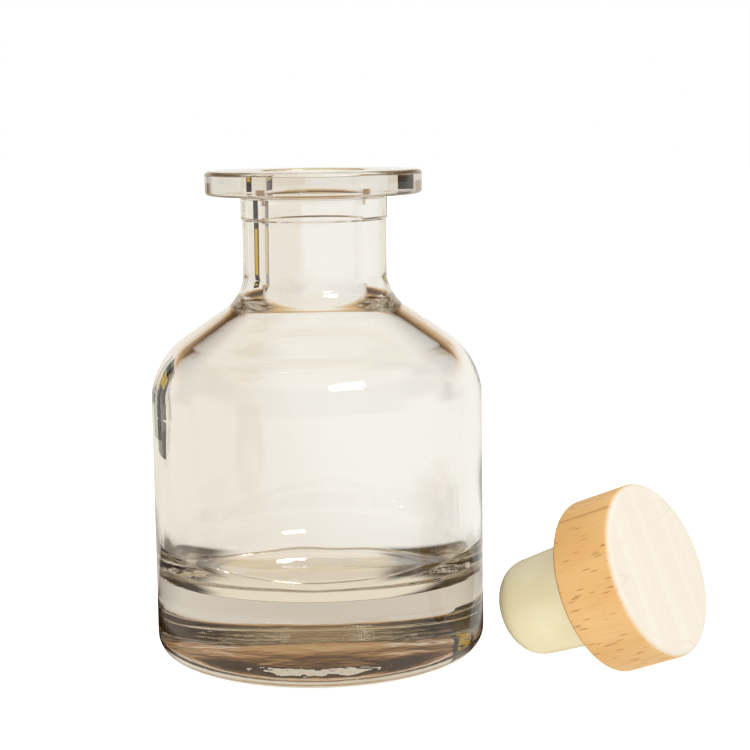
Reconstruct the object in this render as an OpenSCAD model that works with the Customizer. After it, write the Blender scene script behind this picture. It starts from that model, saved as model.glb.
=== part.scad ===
// Aftershave bottle: one thick-based glass bottle with a flanged lip, and its stopper, a round
// wooden cap glued to a tapered polymer plug, lying on the table beside it.
// Millimetres, +Z up. The origin is the centre of the bottle's base, on the table.

/* [Bottle outside] */
// Height from the table to the lip
bottle_h = 90.3; // [87:0.1:96]
// Diameter of the body
body_d = 62; // [58:0.5:68]
// Radius of the edge between the base and the side
base_edge_r = 3.9; // [2:0.1:5]
// Height at which the straight side turns into the shoulder
side_top_z = 48.4; // [44:0.1:50]
// Radius of the shoulder's curve
shoulder_r = 12.9; // [10:0.1:14]
// Angle that the shoulder turns through before it runs straight up to the neck
shoulder_turn = 55.6; // [52:0.1:58]
// Radius of the hollow curve between the shoulder and the neck
neck_fillet_r = 7.6; // [5:0.1:9]
// Diameter of the neck
neck_d = 26.8; // [25:0.1:29]

/* [Lip] */
// Diameter of the flat flange round the mouth
flange_d = 40.3; // [36:0.1:44]
// Thickness of the flange
flange_t = 4.5; // [3.5:0.1:6]
// Radius of the flange's two outer edges
flange_edge_r = 0.9; // [0.4:0.1:1.5]
// How far the collar under the flange stands out from the neck
collar_step = 0.25; // [0.1:0.05:0.5]
// Length of that collar
collar_len = 4.3; // [3:0.1:6]
// Radius of the corner between the collar and the flange
collar_fillet_r = 0.7; // [0.3:0.1:1]

/* [Inside of the glass] */
// Diameter of the bore that holds the stopper
bore_d = 18.5; // [17.5:0.1:19.5]
// Radius of the rounded mouth of the bore
mouth_r = 1.2; // [0.5:0.1:2]
// Thickness of the side and shoulder
wall = 2.7; // [2:0.1:3.5]
// Radius of the curve between the bore and the inner shoulder
bore_fillet_r = 6; // [3:0.5:8]
// Height of the inner floor, which is the thickness of the base
floor_z = 14; // [9:0.5:16]
// Radius of the curve between the inner floor and the side
floor_corner_r = 6.5; // [3:0.5:8]
// Rise of the inner floor from its edge to its middle
floor_crown = 0.6; // [0.2:0.1:1.5]

/* [Underside] */
// Diameter of the hollow inside the ring that the bottle stands on
push_up_d = 46; // [40:0.5:48]
// Height of that hollow at its middle
push_up_h = 1.2; // [0.5:0.1:2.5]

/* [Stopper] */
// Diameter of the wooden cap
cap_d = 32; // [28:0.5:36]
// Thickness of the wooden cap
cap_t = 12.1; // [10:0.1:15]
// Radius of the cap's top edge
cap_top_edge_r = 1.2; // [0.5:0.1:2]
// Radius of the cap's edge on the plug's side
cap_low_edge_r = 0.6; // [0.3:0.1:1]
// Diameter of the plug where it meets the cap
plug_d = 20; // [18.6:0.1:21]
// Diameter that the plug's taper has shrunk to at its tip
plug_tip_d = 18.2; // [17:0.1:18.5]
// Length of the plug below the cap
plug_len = 19.9; // [15:0.1:24]
// Radius of the plug's rounded tip
plug_tip_r = 5.1; // [3:0.1:7]
// Diameter of the spigot that the plug is glued into the cap with
spigot_d = 12.4; // [9:0.1:14]
// Length of the spigot
spigot_len = 7; // [4:0.1:8]
// Thickness of the glue round the spigot
glue_t = 0.3; // [0.1:0.05:0.5]

/* [Place of the stopper] */
// How far to the right of the bottle's axis the middle of the cap's plug side lies
stopper_x = 52.3; // [50:0.1:70]
// How far behind the bottle's axis it lies, less than 0 in front of it
stopper_y = -15; // [-30:0.1:0]
// Direction that the cap faces, seen from above, in degrees from +X
stopper_turn = -35; // [-50:1:-20]

/* [Hidden] */
$fn = 180;
arc_steps = 12;
edge_steps = 6;

body_r = body_d / 2;
neck_r = neck_d / 2;
bore_r = bore_d / 2;
flange_r = flange_d / 2;
flange_z = bottle_h - flange_t;
collar_r = neck_r + collar_step;
collar_z = flange_z - collar_len;
inner_r = body_r - wall;
push_up_r = push_up_d / 2;
// Radius of the ball that the hollow under the base is a slice of
push_up_ball_r = (push_up_r * push_up_r + push_up_h * push_up_h) / (2 * push_up_h);
push_up_angle = asin(push_up_r / push_up_ball_r);
shoulder_centre = [body_r - shoulder_r, side_top_z];

cap_r = cap_d / 2;
plug_r = plug_d / 2;
plug_tip_outer_r = plug_tip_d / 2;
spigot_r = spigot_d / 2;
hole_r = spigot_r + glue_t;
hole_depth = spigot_len + glue_t;

// The stopper lies on two points, the cap's low edge and the plug's tip edge. Each edge is a
// circle's arc, so the lean is that of the line that both circles touch from above.
edge_gap_along = plug_len + cap_low_edge_r - plug_tip_r;
edge_gap_across = cap_r - cap_low_edge_r - (plug_tip_outer_r - plug_tip_r);
stopper_lean = atan2(edge_gap_across, edge_gap_along)
    + asin((cap_low_edge_r - plug_tip_r) / norm([edge_gap_along, edge_gap_across]));
// Height of the middle of the cap's plug side above the table
stopper_z = (cap_r - cap_low_edge_r) * cos(stopper_lean)
    + cap_low_edge_r * (1 - sin(stopper_lean));

// Points on an arc round c, from angle a to angle b
function arc(c, r, a, b, steps) = [
    for (i = [0 : steps])
        c + r * [cos(a + (b - a) * i / steps), sin(a + (b - a) * i / steps)]
];

// Height at which the straight part of a shoulder of radius r would meet the cylinder of radius to_r
function shoulder_meets(r, to_r) =
    side_top_z + r * sin(shoulder_turn)
    + (shoulder_centre.x + r * cos(shoulder_turn) - to_r) / tan(shoulder_turn);

// Centre of the curve of radius r that joins that straight part to the cylinder
function neck_curve_centre(shoulder, to_r, r) = [
    to_r + r,
    shoulder_meets(shoulder, to_r) + r * tan(shoulder_turn / 2)
];

outer_outline = concat(
    arc([0, push_up_h - push_up_ball_r], push_up_ball_r, 90, 90 - push_up_angle, edge_steps),
    arc([body_r - base_edge_r, base_edge_r], base_edge_r, -90, 0, edge_steps),
    arc(shoulder_centre, shoulder_r, 0, shoulder_turn, arc_steps),
    arc(neck_curve_centre(shoulder_r, neck_r, neck_fillet_r), neck_fillet_r,
        180 + shoulder_turn, 180, edge_steps),
    [[neck_r, collar_z - collar_step], [collar_r, collar_z]],
    arc([collar_r + collar_fillet_r, flange_z - collar_fillet_r], collar_fillet_r,
        180, 90, edge_steps),
    arc([flange_r - flange_edge_r, flange_z + flange_edge_r], flange_edge_r, -90, 0, edge_steps),
    arc([flange_r - flange_edge_r, bottle_h - flange_edge_r], flange_edge_r, 0, 90, edge_steps)
);

// From the mouth down to the middle of the inner floor
inner_outline = concat(
    arc([bore_r + mouth_r, bottle_h - mouth_r], mouth_r, 90, 180, edge_steps),
    arc(neck_curve_centre(shoulder_r - wall, bore_r, bore_fillet_r), bore_fillet_r,
        180, 180 + shoulder_turn, edge_steps),
    arc(shoulder_centre, shoulder_r - wall, shoulder_turn, 0, arc_steps),
    arc([inner_r - floor_corner_r, floor_z + floor_corner_r], floor_corner_r, 0, -90, arc_steps),
    [[0, floor_z + floor_crown]]
);

// Stands the stopper's own frame, axis up and origin in the cap's plug side, where it lies
module lay_down() {
    translate([stopper_x, stopper_y, stopper_z])
        rotate([0, 90 - stopper_lean, stopper_turn])
            children();
}

module glass_bottle() {
    color([0.93, 0.9, 0.85, 0.45])
        rotate_extrude()
            polygon(concat(outer_outline, inner_outline));
}

// Turned beech cap with a blind hole for the spigot
module wooden_cap() {
    color([0.93, 0.8, 0.6])
        lay_down()
            rotate_extrude()
                polygon(concat(
                    [[0, hole_depth], [hole_r, hole_depth], [hole_r, 0]],
                    arc([cap_r - cap_low_edge_r, cap_low_edge_r], cap_low_edge_r, -90, 0, edge_steps),
                    arc([cap_r - cap_top_edge_r, cap_t - cap_top_edge_r], cap_top_edge_r,
                        0, 90, edge_steps),
                    [[0, cap_t]]
                ));
}

// Moulded plug: the taper that seals in the bore, and the spigot that goes up into the cap
module stopper_plug() {
    color([0.88, 0.86, 0.72])
        lay_down()
            rotate_extrude()
                polygon(concat(
                    [[0, -plug_len]],
                    arc([plug_tip_outer_r - plug_tip_r, plug_tip_r - plug_len], plug_tip_r,
                        -90, 0, arc_steps),
                    [[plug_r, 0], [spigot_r, 0], [spigot_r, spigot_len], [0, spigot_len]]
                ));
}

// Glue that fills the gap between the spigot and the cap's hole
module glue_film() {
    color([0.95, 0.93, 0.85])
        lay_down()
            difference() {
                cylinder(r = hole_r, h = hole_depth);
                translate([0, 0, -spigot_len])
                    cylinder(r = spigot_r, h = 2 * spigot_len);
            }
}

glass_bottle();
wooden_cap();
stopper_plug();
glue_film();
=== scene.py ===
"""An aftershave bottle in pale champagne glass, with its beech and polymer stopper beside it.

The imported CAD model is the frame. The glass is spun again here with the fine curves and the
slightly uneven inside that light shows up, and the stopper's pieces are turned with their
softened edges. Lengths are millimetres until a mesh is finished, and then metres.
"""
import math

import bmesh
import bpy
from mathutils import Matrix, Vector, noise


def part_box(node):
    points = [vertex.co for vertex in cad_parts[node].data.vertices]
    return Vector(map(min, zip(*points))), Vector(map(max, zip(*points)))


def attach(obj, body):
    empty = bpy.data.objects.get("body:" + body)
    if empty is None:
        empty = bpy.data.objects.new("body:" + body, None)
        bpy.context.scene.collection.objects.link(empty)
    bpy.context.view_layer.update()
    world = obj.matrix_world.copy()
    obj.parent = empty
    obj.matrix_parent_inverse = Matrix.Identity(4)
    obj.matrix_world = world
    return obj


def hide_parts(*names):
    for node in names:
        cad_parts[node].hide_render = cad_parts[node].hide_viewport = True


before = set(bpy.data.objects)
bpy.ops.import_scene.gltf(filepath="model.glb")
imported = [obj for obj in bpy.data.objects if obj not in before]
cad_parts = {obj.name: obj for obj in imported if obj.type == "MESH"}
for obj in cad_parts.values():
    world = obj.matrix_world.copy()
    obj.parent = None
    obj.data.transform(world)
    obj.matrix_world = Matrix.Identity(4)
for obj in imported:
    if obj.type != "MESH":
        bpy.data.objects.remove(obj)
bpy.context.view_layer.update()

MM = 0.001
# Sockets of the Mix node when it mixes colours
MIX_A, MIX_B, MIX_RESULT = 6, 7, 2


# ---------------------------------------------------------------- helpers

def linear(hex_colour):
    """A linear RGBA colour from an sRGB hex value such as "#f3e6cf"."""
    channels = [int(hex_colour[i:i + 2], 16) / 255 for i in (1, 3, 5)]
    return [c / 12.92 if c <= 0.04045 else ((c + 0.055) / 1.055) ** 2.4 for c in channels] + [1.0]


def node(tree, kind, settings=None, inputs=None, **links):
    """Adds a node, sets its properties and input values, and links outputs to its inputs."""
    made = tree.nodes.new(kind)
    for name, value in (settings or {}).items():
        setattr(made, name, value)
    for name, value in (inputs or {}).items():
        made.inputs[name].default_value = value
    for name, output in links.items():
        tree.links.new(output, made.inputs[name.replace("_", " ")])
    return made


def fill(tree, socket, value):
    """Links an output to a socket, or writes a plain value into it."""
    if isinstance(value, bpy.types.NodeSocket):
        tree.links.new(value, socket)
    else:
        socket.default_value = value


def blend(tree, factor, first, second, kind="MIX"):
    """Mixes two colours by a factor; each of the three is an output or a value."""
    mixed = node(tree, "ShaderNodeMix", {"data_type": "RGBA", "blend_type": kind})
    fill(tree, mixed.inputs["Factor"], factor)
    fill(tree, mixed.inputs[MIX_A], first)
    fill(tree, mixed.inputs[MIX_B], second)
    return mixed.outputs[MIX_RESULT]


def maths(tree, operation, first, second=0.0):
    """One step of arithmetic on outputs or values."""
    made = node(tree, "ShaderNodeMath", {"operation": operation})
    fill(tree, made.inputs[0], first)
    fill(tree, made.inputs[1], second)
    return made.outputs[0]


def ease(tree, value, start, end):
    """0 while the value is at start, 1 once it is at end, and smooth between the two."""
    made = node(tree, "ShaderNodeMapRange", {"interpolation_type": "SMOOTHSTEP"},
                {"From Min": start, "From Max": end}, Value=value)
    return made.outputs["Result"]


def new_material(name):
    """A material with an empty node tree, and its output node."""
    material = bpy.data.materials.new(name)
    material.use_nodes = True
    tree = material.node_tree
    tree.nodes.clear()
    return material, tree, tree.nodes.new("ShaderNodeOutputMaterial")


def finished(bm, name, material, body):
    """Makes a piece of the object from a bmesh in millimetres, riding on a CAD body."""
    bmesh.ops.scale(bm, vec=(MM, MM, MM), verts=bm.verts)
    for face in bm.faces:
        face.smooth = True
    mesh = bpy.data.meshes.new(name)
    bm.to_mesh(mesh)
    bm.free()
    piece = bpy.data.objects.new(name, mesh)
    bpy.context.scene.collection.objects.link(piece)
    piece.data.materials.append(material)
    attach(piece, body)
    return piece


def spun(corners, steps, arc_segments=10, longest=3.0):
    """A bmesh turned about Z from an outline of (radius, height, curve radius) corners.

    A corner with a curve radius is rounded off by that much before the outline is spun, and
    straight stretches are cut so that none is longer than the longest."""
    bm = bmesh.new()
    verts = [bm.verts.new((radius, 0, height)) for radius, height, _ in corners]
    for a, b in zip(verts, verts[1:]):
        bm.edges.new((a, b))
    places = [Vector((radius, height)) for radius, height, _ in corners]
    for i in range(1, len(corners) - 1):
        if corners[i][2] > 0:
            turn = (places[i] - places[i - 1]).angle(places[i + 1] - places[i])
            bmesh.ops.bevel(
                bm, geom=[verts[i]], offset=corners[i][2] * math.tan(turn / 2),
                segments=arc_segments, profile=0.5, affect="VERTICES", material=-1,
            )
    for edge in bm.edges[:]:
        cuts = int(edge.calc_length() / longest)
        if cuts:
            bmesh.ops.subdivide_edges(bm, edges=[edge], cuts=cuts)
    bmesh.ops.spin(
        bm, geom=bm.verts[:] + bm.edges[:], cent=(0, 0, 0), axis=(0, 0, 1),
        angle=2 * math.pi, steps=steps, use_merge=True,
    )
    bmesh.ops.remove_doubles(bm, verts=bm.verts, dist=0.0005)
    bmesh.ops.recalc_face_normals(bm, faces=bm.faces)
    return bm


# ---------------------------------------------------------------- camera

CAMERA_PLACE = Vector((11.32, -334.1, 99.41)) * MM
CAMERA_PITCH = math.radians(8.11)
CAMERA_ROLL = -0.0135
CAMERA_YAW = 0.0012

camera_data = bpy.data.cameras.new("camera")
camera_data.sensor_width = 36
camera_data.lens = 86.16
camera_data.clip_start = 0.01
camera = bpy.data.objects.new("camera", camera_data)
camera.matrix_world = (
    Matrix.Translation(CAMERA_PLACE)
    @ Matrix.Rotation(CAMERA_YAW, 4, "Z")
    @ Matrix.Rotation(math.pi / 2 - CAMERA_PITCH, 4, "X")
    @ Matrix.Rotation(CAMERA_ROLL, 4, "Z")
)
bpy.context.scene.collection.objects.link(camera)
bpy.context.scene.camera = camera


# ---------------------------------------------------------------- place of the stopper

STOPPER_PLACE = Vector((52.3, -15.0, 14.5496))
STOPPER_LEAN = math.radians(22.928)
STOPPER_TURN = math.radians(-35)
# Takes the stopper's own frame, axis up and origin in the cap's plug side, to where it lies
lay_down = (
    Matrix.Translation(STOPPER_PLACE)
    @ Matrix.Rotation(STOPPER_TURN, 4, "Z")
    @ Matrix.Rotation(math.pi / 2 - STOPPER_LEAN, 4, "Y")
)


# ---------------------------------------------------------------- materials

def champagne_glass():
    """Soda-lime flint glass with a thin champagne tint: clear where thin, amber where thick."""
    material, tree, output = new_material("champagne_flint_glass")
    shader = node(tree, "ShaderNodeBsdfPrincipled", inputs={
        "Base Color": (1, 1, 1, 1), "Roughness": 0.0, "IOR": 1.52, "Transmission Weight": 1.0,
    })
    # Stippling moulded into the underside, one dimple to about 2 mm, gone by the top of its edge
    dimples_per_metre = 500.0
    stipple_depth = 0.00006
    place = node(tree, "ShaderNodeTexCoord")
    height = node(tree, "ShaderNodeSeparateXYZ", Vector=place.outputs["Object"]).outputs["Z"]
    grain = node(tree, "ShaderNodeTexNoise", inputs={"Scale": dimples_per_metre, "Detail": 1.0},
                 Vector=place.outputs["Object"])
    dimples = maths(tree, "MULTIPLY", grain.outputs["Fac"], ease(tree, height, 0.0034, 0.0018))
    stipple = node(tree, "ShaderNodeBump", inputs={"Strength": 1.0, "Distance": stipple_depth},
                   Height=dimples)
    tree.links.new(stipple.outputs["Normal"], shader.inputs["Normal"])
    tint = node(tree, "ShaderNodeVolumeAbsorption", inputs={
        "Color": linear("#dbd3c5"), "Density": 23,
    })
    tree.links.new(shader.outputs["BSDF"], output.inputs["Surface"])
    tree.links.new(tint.outputs["Volume"], output.inputs["Volume"])
    return material


def stopper_millimetres(tree):
    """Object coordinates turned into millimetres in the stopper's own frame."""
    place = node(tree, "ShaderNodeTexCoord")
    own = node(tree, "ShaderNodeMapping", {"vector_type": "TEXTURE"}, {
        "Location": STOPPER_PLACE * MM,
        "Rotation": lay_down.to_euler("XYZ"),
        "Scale": (MM, MM, MM),
    }, Vector=place.outputs["Object"])
    return own.outputs["Vector"]


def noise_at(tree, vector, scale, detail=2.0):
    """Noise on coordinates stretched by a scale for each axis, in cycles per millimetre."""
    # Keeps the middle of a piece off the noise's lattice, where its lines would cross
    off_lattice = (3.7, 1.3, 2.6)
    stretched = node(tree, "ShaderNodeMapping", inputs={"Scale": scale, "Location": off_lattice},
                     Vector=vector)
    made = node(tree, "ShaderNodeTexNoise",
                inputs={"Scale": 1.0, "Detail": detail, "Roughness": 0.5},
                Vector=stretched.outputs["Vector"])
    return made.outputs["Fac"]


def turned_beech():
    """Sanded, unvarnished beech: ray flecks down the turned side, pale end grain on top."""
    material, tree, output = new_material("sanded_turned_beech")
    own = stopper_millimetres(tree)
    height = node(tree, "ShaderNodeSeparateXYZ", Vector=own).outputs["Z"]

    # Side grain: broad tones, fine fibres along the axis, and a few long fine lines
    broad = ease(tree, noise_at(tree, own, (0.11, 0.11, 0.05)), 0.35, 0.68)
    side = blend(tree, broad, linear("#edc082"), linear("#e5b370"))
    fibres = ease(tree, noise_at(tree, own, (2.4, 2.4, 0.12), 3.0), 0.4, 0.75)
    side = blend(tree, maths(tree, "MULTIPLY", fibres, 0.2), side, linear("#cf9858"))
    rings = noise_at(tree, own, (0.06, 0.06, 0.0), 0.0)
    off_line = maths(tree, "ABSOLUTE", maths(tree, "SUBTRACT", rings, 0.5))
    line = maths(tree, "MULTIPLY", ease(tree, off_line, 0.004, 0.001), 0.5)
    side = blend(tree, line, side, linear("#b57a3e"))

    # Ray flecks: slim spindles along the axis, one to a cell
    cells = node(tree, "ShaderNodeMapping", inputs={"Scale": (1.8, 1.8, 0.21)}, Vector=own)
    rays = node(tree, "ShaderNodeTexVoronoi", inputs={"Scale": 1.0, "Randomness": 1.0},
                Vector=cells.outputs["Vector"])
    fleck = ease(tree, rays.outputs["Distance"], 0.27, 0.12)
    side = blend(tree, maths(tree, "MULTIPLY", fleck, 0.75), side, linear("#a9682f"))
    low_edge = maths(tree, "MULTIPLY", ease(tree, height, 0.7, 0.1), 0.6)
    side = blend(tree, low_edge, side, linear("#9a5f28"))

    # End grain: almost white, with faint, nearly straight rings and thinner lines across them
    face = blend(tree, ease(tree, noise_at(tree, own, (0.012, 0.3, 0.02)), 0.4, 0.62),
                 linear("#f3ecdf"), linear("#f0e7d8"))
    across = maths(tree, "SUBTRACT", noise_at(tree, own, (0.16, 0.012, 0.0), 0.0), 0.5)
    across = maths(tree, "ABSOLUTE", across)
    thin_line = maths(tree, "MULTIPLY", ease(tree, across, 0.006, 0.001), 0.25)
    face = blend(tree, thin_line, face, linear("#dcc7a8"))
    dots = maths(tree, "MULTIPLY", ease(tree, rays.outputs["Distance"], 0.16, 0.08), 0.25)
    face = blend(tree, dots, face, linear("#c9a77c"))

    colour = blend(tree, ease(tree, height, 11.1, 12.05), side, face)
    bump = node(tree, "ShaderNodeBump", inputs={"Strength": 0.15, "Distance": 0.00005},
                Height=fibres)
    shader = node(tree, "ShaderNodeBsdfPrincipled", inputs={"Roughness": 0.6, "IOR": 1.45},
                  Base_Color=colour, Normal=bump.outputs["Normal"])
    tree.links.new(shader.outputs["BSDF"], output.inputs["Surface"])
    return material


def satin_polymer():
    """Moulded cream polymer with a satin skin that light sinks into a little, and painted olive
    shade where it turns edge-on.
    """
    material, tree, output = new_material("satin_cream_polymer")
    own = stopper_millimetres(tree)
    mottle = ease(tree, noise_at(tree, own, (0.12, 0.12, 0.08)), 0.35, 0.65)
    colour = blend(tree, mottle, linear("#f8efcd"), linear("#f2e6bc"))
    # Painted shade: the polymer darkens to olive towards its edge-on outline
    edge = node(tree, "ShaderNodeLayerWeight", inputs={"Blend": 0.35})
    edge_shade = maths(tree, "MULTIPLY", ease(tree, edge.outputs["Facing"], 0.5, 1.0), 0.85)
    colour = blend(tree, edge_shade, colour, linear("#ab963c"))
    shader = node(tree, "ShaderNodeBsdfPrincipled", inputs={
        "Roughness": 0.38, "IOR": 1.5, "Subsurface Weight": 0.25,
        "Subsurface Radius": (1.0, 0.8, 0.45), "Subsurface Scale": 0.002,
    }, Base_Color=colour)
    tree.links.new(shader.outputs["BSDF"], output.inputs["Surface"])
    return material


def dried_glue():
    """Wood glue dried to a hazy amber film."""
    material, tree, output = new_material("dried_wood_glue")
    own = stopper_millimetres(tree)
    haze = ease(tree, noise_at(tree, own, (0.6, 0.6, 0.6)), 0.3, 0.7)
    shader = node(tree, "ShaderNodeBsdfPrincipled", inputs={"Roughness": 0.3, "IOR": 1.48},
                  Base_Color=blend(tree, haze, linear("#efe4c0"), linear("#e3d09c")))
    tree.links.new(shader.outputs["BSDF"], output.inputs["Surface"])
    return material


# ---------------------------------------------------------------- glass bottle

bottle_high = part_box("glass_bottle")[1]
lip_z = bottle_high.z / MM
body_r = bottle_high.x / MM
wall = 2.7
floor_z = 14.0
shoulder_turn = math.radians(55.6)


def bottle_outline():
    """Corners of the glass, from the middle of the underside out, up, over the lip and down."""
    neck_r = 13.4
    collar_r = 13.65
    flange_r = 20.15
    flange_z = 85.8
    bore_r = 9.25
    side_top_z = 48.4
    shoulder_r = 12.9
    inner_r = body_r - wall
    slope = 1 / math.tan(shoulder_turn)
    half_turn = math.tan(shoulder_turn / 2)
    corner_z = side_top_z + shoulder_r * half_turn
    inner_corner_z = side_top_z + (shoulder_r - wall) * half_turn
    return [
        (0, 1.2, 0),
        (12, 0.9, 30),
        (23, 0.0, 2),
        (body_r, 0, 3.9),
        (body_r, corner_z, shoulder_r),
        (neck_r, corner_z + (body_r - neck_r) * slope, 7.6),
        (neck_r, 81.2, 0.2),
        (collar_r, 81.5, 0.2),
        (collar_r, flange_z, 0.7),
        (flange_r, flange_z, 0.9),
        (flange_r, lip_z, 0.9),
        (bore_r, lip_z, 1.2),
        (bore_r, inner_corner_z + (inner_r - bore_r) * slope, 6),
        (inner_r, inner_corner_z, shoulder_r - wall),
        (inner_r, floor_z + 3.0, 9.0),
        (24.5, floor_z, 5.0),
        (21.0, floor_z, 0.5),
        (20.5, floor_z + 0.4, 0.5),
        (19.5, floor_z + 0.2, 0.5),
        (0, floor_z + 0.4, 0),
    ]


def uneven_inside(bm):
    """Gives the glass the slightly wavy inside and the sloping floor that blowing leaves.

    The underside is only ever raised, so that the bottle still stands on its ring."""
    floor_slope = math.tan(math.radians(2.7))
    slope_fades_z = 27.0
    inside_low_z = 5
    inside_high_z = 80
    inside_wave = 0.13
    inside_wavelength = 17.0
    ripple_share = 0.4
    ripples_per_wave = 2.3
    underside_high_z = 2.5
    underside_r = 26
    underside_wave = 0.1
    underside_wavelength = 9.0
    bm.normal_update()
    for vert in bm.verts:
        place = vert.co.copy()
        radius = math.hypot(place.x, place.y)
        facing_axis = radius > 0 and vert.normal.xy.dot(place.xy) / radius < -0.05
        on_floor = vert.normal.z > 0.5 and place.z < slope_fades_z
        if (facing_axis or on_floor) and inside_low_z < place.z < inside_high_z:
            wave = noise.noise(place / inside_wavelength)
            wave += ripple_share * noise.noise(place * ripples_per_wave / inside_wavelength)
            vert.co += vert.normal * wave * inside_wave
            if place.z < slope_fades_z:
                fade = 1 - max(0.0, place.z - floor_z - 1) / (slope_fades_z - floor_z - 1)
                vert.co.z -= place.y * floor_slope * max(0.0, fade)
        elif place.z < underside_high_z and radius < underside_r:
            wave = noise.noise(place / underside_wavelength + Vector((5, 0, 0)))
            vert.co.z += abs(wave) * underside_wave


GLASS_STEPS = 192
glass_mesh = spun(bottle_outline(), GLASS_STEPS)
uneven_inside(glass_mesh)
glass = finished(glass_mesh, "bottle_glass", champagne_glass(), "bottle")
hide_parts("glass_bottle")


# ---------------------------------------------------------------- stopper

STOPPER_STEPS = 128


def stopper_piece(corners, name, material):
    """A piece turned in the stopper's own frame and laid down on the table."""
    bm = spun(corners, STOPPER_STEPS)
    bmesh.ops.transform(bm, matrix=lay_down, verts=bm.verts)
    return finished(bm, name, material, "stopper")


cap_r = 16.0
cap_t = 12.1
plug_r = 10.0
# Radius at which the taper's line reaches the plug's end, before that corner is rounded off
plug_end_r = 8.79
plug_len = 19.9
spigot_r = 6.2
spigot_len = 7.0
glue_t = 0.3

cap = stopper_piece([
    (0, spigot_len + glue_t, 0),
    (spigot_r + glue_t, spigot_len + glue_t, 0),
    (spigot_r + glue_t, 0, 0.2),
    (cap_r, 0, 0.6),
    (cap_r, cap_t, 1.2),
    (0, cap_t, 0),
], "beech_cap", turned_beech())
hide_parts("wooden_cap")

plug = stopper_piece([
    (0, -plug_len, 0),
    (plug_end_r, -plug_len, 5.1),
    (plug_r, 0, 0),
    (spigot_r, 0, 0),
    (spigot_r, spigot_len, 0.3),
    (0, spigot_len, 0),
], "polymer_plug", satin_polymer())
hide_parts("stopper_plug")

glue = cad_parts["glue_film"]
glue.data.materials.clear()
glue.data.materials.append(dried_glue())


# ---------------------------------------------------------------- stage and light

scene = bpy.context.scene
scene.view_settings.view_transform = "Standard"

WHITE = (1, 1, 1, 1)
PAPER = "#fbf9f3"
ROOM_SIDES = "#a98f72"
ROOM_FRONT = "#b5aea4"
# What stands behind the paper, from the elevation in degrees at which each colour is reached
ROOM_BACK = (
    (0, PAPER), (8, PAPER), (11.5, "#dcbf90"), (14.5, "#d2aa7c"), (17, "#b88e5c"),
    (21, "#6e5238"), (26, "#463628"), (33, "#5a442c"), (38, "#a8823f"), (44, "#efe6d4"),
)
CEILING = "#e2cea2"
# Painted shade: the paper is warmer and darker on its left side
PAPER_LEFT_SHADE = "#f1eadd"
# Table past the paper near the bottle: dark grey on the left from painted shade, pale on the right
SHADED_TABLE_LEFT = "#7d7267"
TABLE_RIGHT = "#e4dfd5"
# Painted shadow of the bottle on the floor that the glass sees: pale middle, amber back, dark
# sides
BOTTLE_SHADOW_MIDDLE = "#f6ecd8"
BOTTLE_SHADOW_BACK = "#d8ba80"
BOTTLE_SHADOW_SIDES = "#2c1e12"
# Strength of the paper and room as the glass sees them
PAPER_GLOW = 0.99
# Strength of the even light that the matt pieces stand in
SOFT_LIGHT = 1.0
# How far off to a side the paper ends, as sideways distance over distance behind
PAPER_SPREAD = 1.3


def beyond_paper(tree, sideways, behind, start, end):
    """0 over the paper and 1 past its sides, for a place or a direction."""
    off = maths(tree, "SUBTRACT", maths(tree, "ABSOLUTE", sideways),
                maths(tree, "MULTIPLY", behind, PAPER_SPREAD))
    return ease(tree, off, start, end)


def to_left(tree, sideways, behind, softness):
    """0 to the right and 1 to the left of the middle, where warmer shade is painted on the paper.
    """
    lean = maths(tree, "ADD", sideways, maths(tree, "MULTIPLY", behind, 0.1))
    return ease(tree, lean, softness, -softness)


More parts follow.
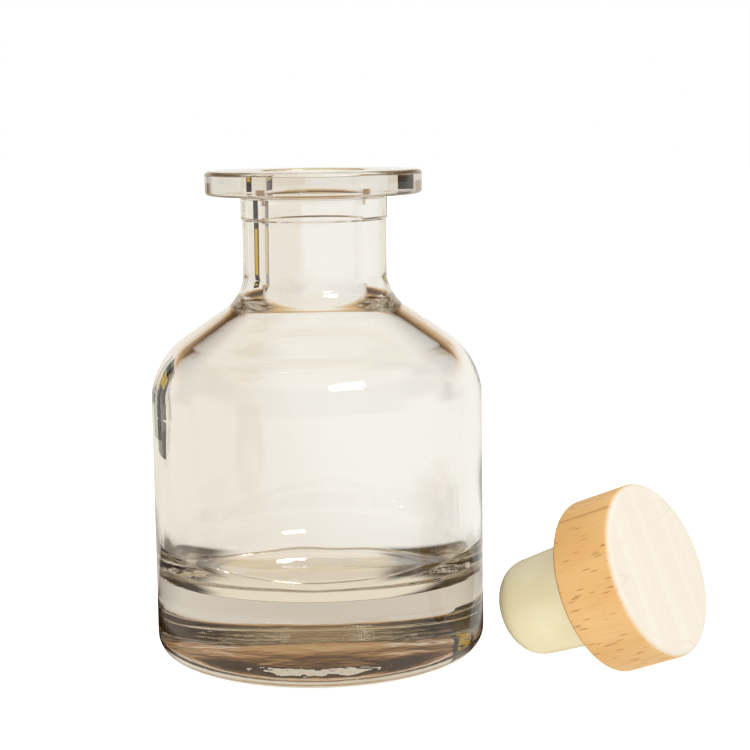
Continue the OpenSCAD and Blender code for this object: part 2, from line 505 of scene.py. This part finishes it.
def studio_room():
    """The world: white to the eye, and to the glass a paper with a room above and beside it."""
    world = bpy.data.worlds.new("studio")
    world.use_nodes = True
    tree = world.node_tree
    tree.nodes.clear()
    place = node(tree, "ShaderNodeTexCoord")
    way = node(tree, "ShaderNodeSeparateXYZ", Vector=place.outputs["Generated"]).outputs
    ramp = node(tree, "ShaderNodeValToRGB", Fac=way["Z"])
    stops = ramp.color_ramp.elements
    while len(stops) < len(ROOM_BACK):
        stops.new(1.0)
    for stop, (elevation, colour) in zip(stops, ROOM_BACK):
        stop.position = math.sin(math.radians(elevation))
        stop.color = linear(colour)
    # Low on the left the paper gets a warmer painted shade, and low down towards the sides it
    # hides the room behind
    left_shade = maths(tree, "MULTIPLY", to_left(tree, way["X"], way["Y"], 0.3),
                 ease(tree, way["Z"], 0.2, 0.12))
    back = blend(tree, left_shade, ramp.outputs["Color"], linear(PAPER_LEFT_SHADE))
    off_centre = ease(tree, maths(tree, "ABSOLUTE", way["X"]), 0.24, 0.33)
    low_down = maths(tree, "MULTIPLY", ease(tree, way["Z"], 0.28, 0.23), 0.6)
    room = blend(tree, maths(tree, "MULTIPLY", off_centre, low_down), back, linear(PAPER))
    beside = maths(tree, "MULTIPLY", beyond_paper(tree, way["X"], way["Y"], 0.1, 0.4),
                   ease(tree, way["Y"], 0.0, 0.15))
    room = blend(tree, beside, room, linear(ROOM_SIDES))
    ceiling = ease(tree, way["Z"], 0.62, 0.8)
    room = blend(tree, ceiling, room, linear(CEILING))
    front = maths(tree, "MULTIPLY", ease(tree, way["Y"], -0.2, -0.6),
                  ease(tree, way["Z"], 0.8, 0.5))
    room = blend(tree, front, room, linear(ROOM_FRONT))
    seen_by_glass = node(tree, "ShaderNodeBackground", inputs={"Strength": PAPER_GLOW}, Color=room)
    white = node(tree, "ShaderNodeBackground", inputs={"Color": WHITE, "Strength": 1.0})
    soft = node(tree, "ShaderNodeBackground", inputs={"Color": WHITE, "Strength": SOFT_LIGHT})
    path = node(tree, "ShaderNodeLightPath")
    matt = node(tree, "ShaderNodeMixShader", Fac=path.outputs["Is Diffuse Ray"])
    tree.links.new(seen_by_glass.outputs[0], matt.inputs[1])
    tree.links.new(soft.outputs[0], matt.inputs[2])
    both = node(tree, "ShaderNodeMixShader", Fac=path.outputs["Is Camera Ray"])
    tree.links.new(matt.outputs[0], both.inputs[1])
    tree.links.new(white.outputs[0], both.inputs[2])
    node(tree, "ShaderNodeOutputWorld", Surface=both.outputs[0])
    scene.world = world


def paper():
    """Pale paper floor, lit enough that shadows all but vanish, cream where the glass sees it,
    with the bottle's shadow painted in around its foot.
    """
    material, tree, output = new_material("pale_paper")
    path = node(tree, "ShaderNodeLightPath")
    sheet = node(tree, "ShaderNodeBsdfDiffuse", inputs={"Color": linear("#c8c4bc")})
    glow = node(tree, "ShaderNodeEmission", inputs={"Color": WHITE, "Strength": 0.86})
    lit = node(tree, "ShaderNodeAddShader")
    tree.links.new(sheet.outputs[0], lit.inputs[0])
    tree.links.new(glow.outputs[0], lit.inputs[1])
    place = node(tree, "ShaderNodeTexCoord")
    spot = node(tree, "ShaderNodeSeparateXYZ", Vector=place.outputs["Object"]).outputs
    across = spot["X"]
    behind = spot["Y"]
    # Painted shade: the paper turns warmer and darker towards the left
    colour = blend(tree, to_left(tree, across, behind, 0.03), linear(PAPER), linear(PAPER_LEFT_SHADE))
    # Painted shade darkens the table on the left; the right side stays pale
    table = blend(tree, ease(tree, across, -0.001, 0.001), linear(SHADED_TABLE_LEFT), linear(TABLE_RIGHT))
    from_axis = node(tree, "ShaderNodeVectorMath", {"operation": "LENGTH"},
                     Vector=place.outputs["Object"])
    radius = from_axis.outputs["Value"]
    beside = maths(tree, "MULTIPLY", beyond_paper(tree, across, behind, -0.010, 0.002),
                   ease(tree, behind, -0.01, 0.02))
    beside = maths(tree, "MULTIPLY", beside, ease(tree, radius, 0.13, 0.10))
    colour = blend(tree, beside, colour, table)

    # The bottle's own shadow, painted in: pale in the middle, amber at the back and dark down both
    # sides
    colour = blend(tree, ease(tree, radius, 0.033, 0.030), colour, linear(BOTTLE_SHADOW_MIDDLE))
    off_side = maths(tree, "ABSOLUTE", maths(tree, "ADD", across, 0.004))
    back = maths(tree, "MULTIPLY", ease(tree, behind, 0.009, 0.013),
                 ease(tree, behind, 0.025, 0.020))
    back = maths(tree, "MULTIPLY", back, ease(tree, off_side, 0.022, 0.015))
    colour = blend(tree, back, colour, linear(BOTTLE_SHADOW_BACK))
    shadow_flank = maths(tree, "MULTIPLY", ease(tree, off_side, 0.014, 0.021),
                  ease(tree, off_side, 0.046, 0.040))
    shadow_flank = maths(tree, "MULTIPLY", shadow_flank, ease(tree, behind, -0.016, -0.006))
    shadow_flank = maths(tree, "MULTIPLY", shadow_flank, ease(tree, behind, 0.040, 0.034))
    colour = blend(tree, shadow_flank, colour, linear(BOTTLE_SHADOW_SIDES))
    colour = blend(tree, path.outputs["Is Diffuse Ray"], colour, linear(PAPER))
    cream = node(tree, "ShaderNodeEmission", inputs={"Strength": PAPER_GLOW}, Color=colour)
    both = node(tree, "ShaderNodeMixShader", Fac=path.outputs["Is Camera Ray"])
    tree.links.new(cream.outputs[0], both.inputs[1])
    tree.links.new(lit.outputs[0], both.inputs[2])
    tree.links.new(both.outputs[0], output.inputs["Surface"])
    return material


def card_colour(name, colour):
    """A matt card's colour, the same under any light."""
    material, tree, output = new_material(name)
    glow = node(tree, "ShaderNodeEmission", inputs={"Color": linear(colour), "Strength": 1.0})
    tree.links.new(glow.outputs[0], output.inputs["Surface"])
    return material


def flat_card(name, width, height, place, facing, material):
    """A flat rectangle of the stage, in metres, with its face turned towards a point."""
    bm = bmesh.new()
    bmesh.ops.create_grid(bm, x_segments=1, y_segments=1, size=0.5)
    bmesh.ops.scale(bm, vec=(width, height, 1), verts=bm.verts)
    place = Vector(place)
    turn = (Vector(facing) - place).to_track_quat("Z", "Y").to_matrix().to_4x4()
    bmesh.ops.transform(bm, matrix=Matrix.Translation(place) @ turn, verts=bm.verts)
    mesh = bpy.data.meshes.new(name)
    bm.to_mesh(mesh)
    bm.free()
    sheet = bpy.data.objects.new(name, mesh)
    scene.collection.objects.link(sheet)
    sheet.data.materials.append(material)
    return sheet


def reflected_card(name, azimuth, distance, width, low, high, colour):
    """An upright card that only the glass sees, at an azimuth in degrees from straight behind."""
    angle = math.radians(azimuth)
    middle = (low + high) / 2
    place = (distance * math.sin(angle), distance * math.cos(angle), middle)
    card = flat_card(name, width, high - low, place, (0, 0, middle), card_colour(name, colour))
    card.visible_camera = False
    card.visible_shadow = False
    card.visible_diffuse = False
    return card


def softbox(name, direction, distance, width, height, radiance):
    """A rectangular light that faces the bottle from that direction."""
    data = bpy.data.lights.new(name, "AREA")
    data.shape = "RECTANGLE"
    data.size = width
    data.size_y = height
    data.energy = radiance * width * height * math.pi
    lamp = bpy.data.objects.new(name, data)
    aim = Vector((0, 0, 0.05))
    place = aim + Vector(direction).normalized() * distance
    turn = (place - aim).to_track_quat("Z", "Y").to_matrix().to_4x4()
    lamp.matrix_world = Matrix.Translation(place) @ turn
    scene.collection.objects.link(lamp)
    return lamp


def unseen_by_glass(lamp):
    """Keeps a fill light out of the glass, so that it only lifts the matt pieces."""
    lamp.visible_glossy = False
    lamp.visible_transmission = False


studio_room()
FLOOR_WIDTH = 6
# A hair under the object, so that the two never share a plane
FLOOR_Z = -0.0002
flat_card("floor", FLOOR_WIDTH, FLOOR_WIDTH, (0, 0, FLOOR_Z), (0, 0, 1), paper())
reflected_card("dark_card", -44, 0.2, 0.062, 0.0085, 0.1, "#1e1a18")
reflected_card("mustard_strip", -43.5, 0.19, 0.036, 0.050, 0.073, "#c8a52e")
softbox("key_softbox", (0.35, -0.64, 0.685), 0.9, 0.3, 0.12, 10.0)
unseen_by_glass(softbox("fill_softbox", (-0.6, -0.75, 0.28), 0.9, 0.5, 0.4, 1.6))

# Enough for light to get through the thick base after several reflections inside it
GLASS_BOUNCES = 24
scene.cycles.max_bounces = GLASS_BOUNCES
scene.cycles.transmission_bounces = GLASS_BOUNCES
scene.cycles.glossy_bounces = GLASS_BOUNCES
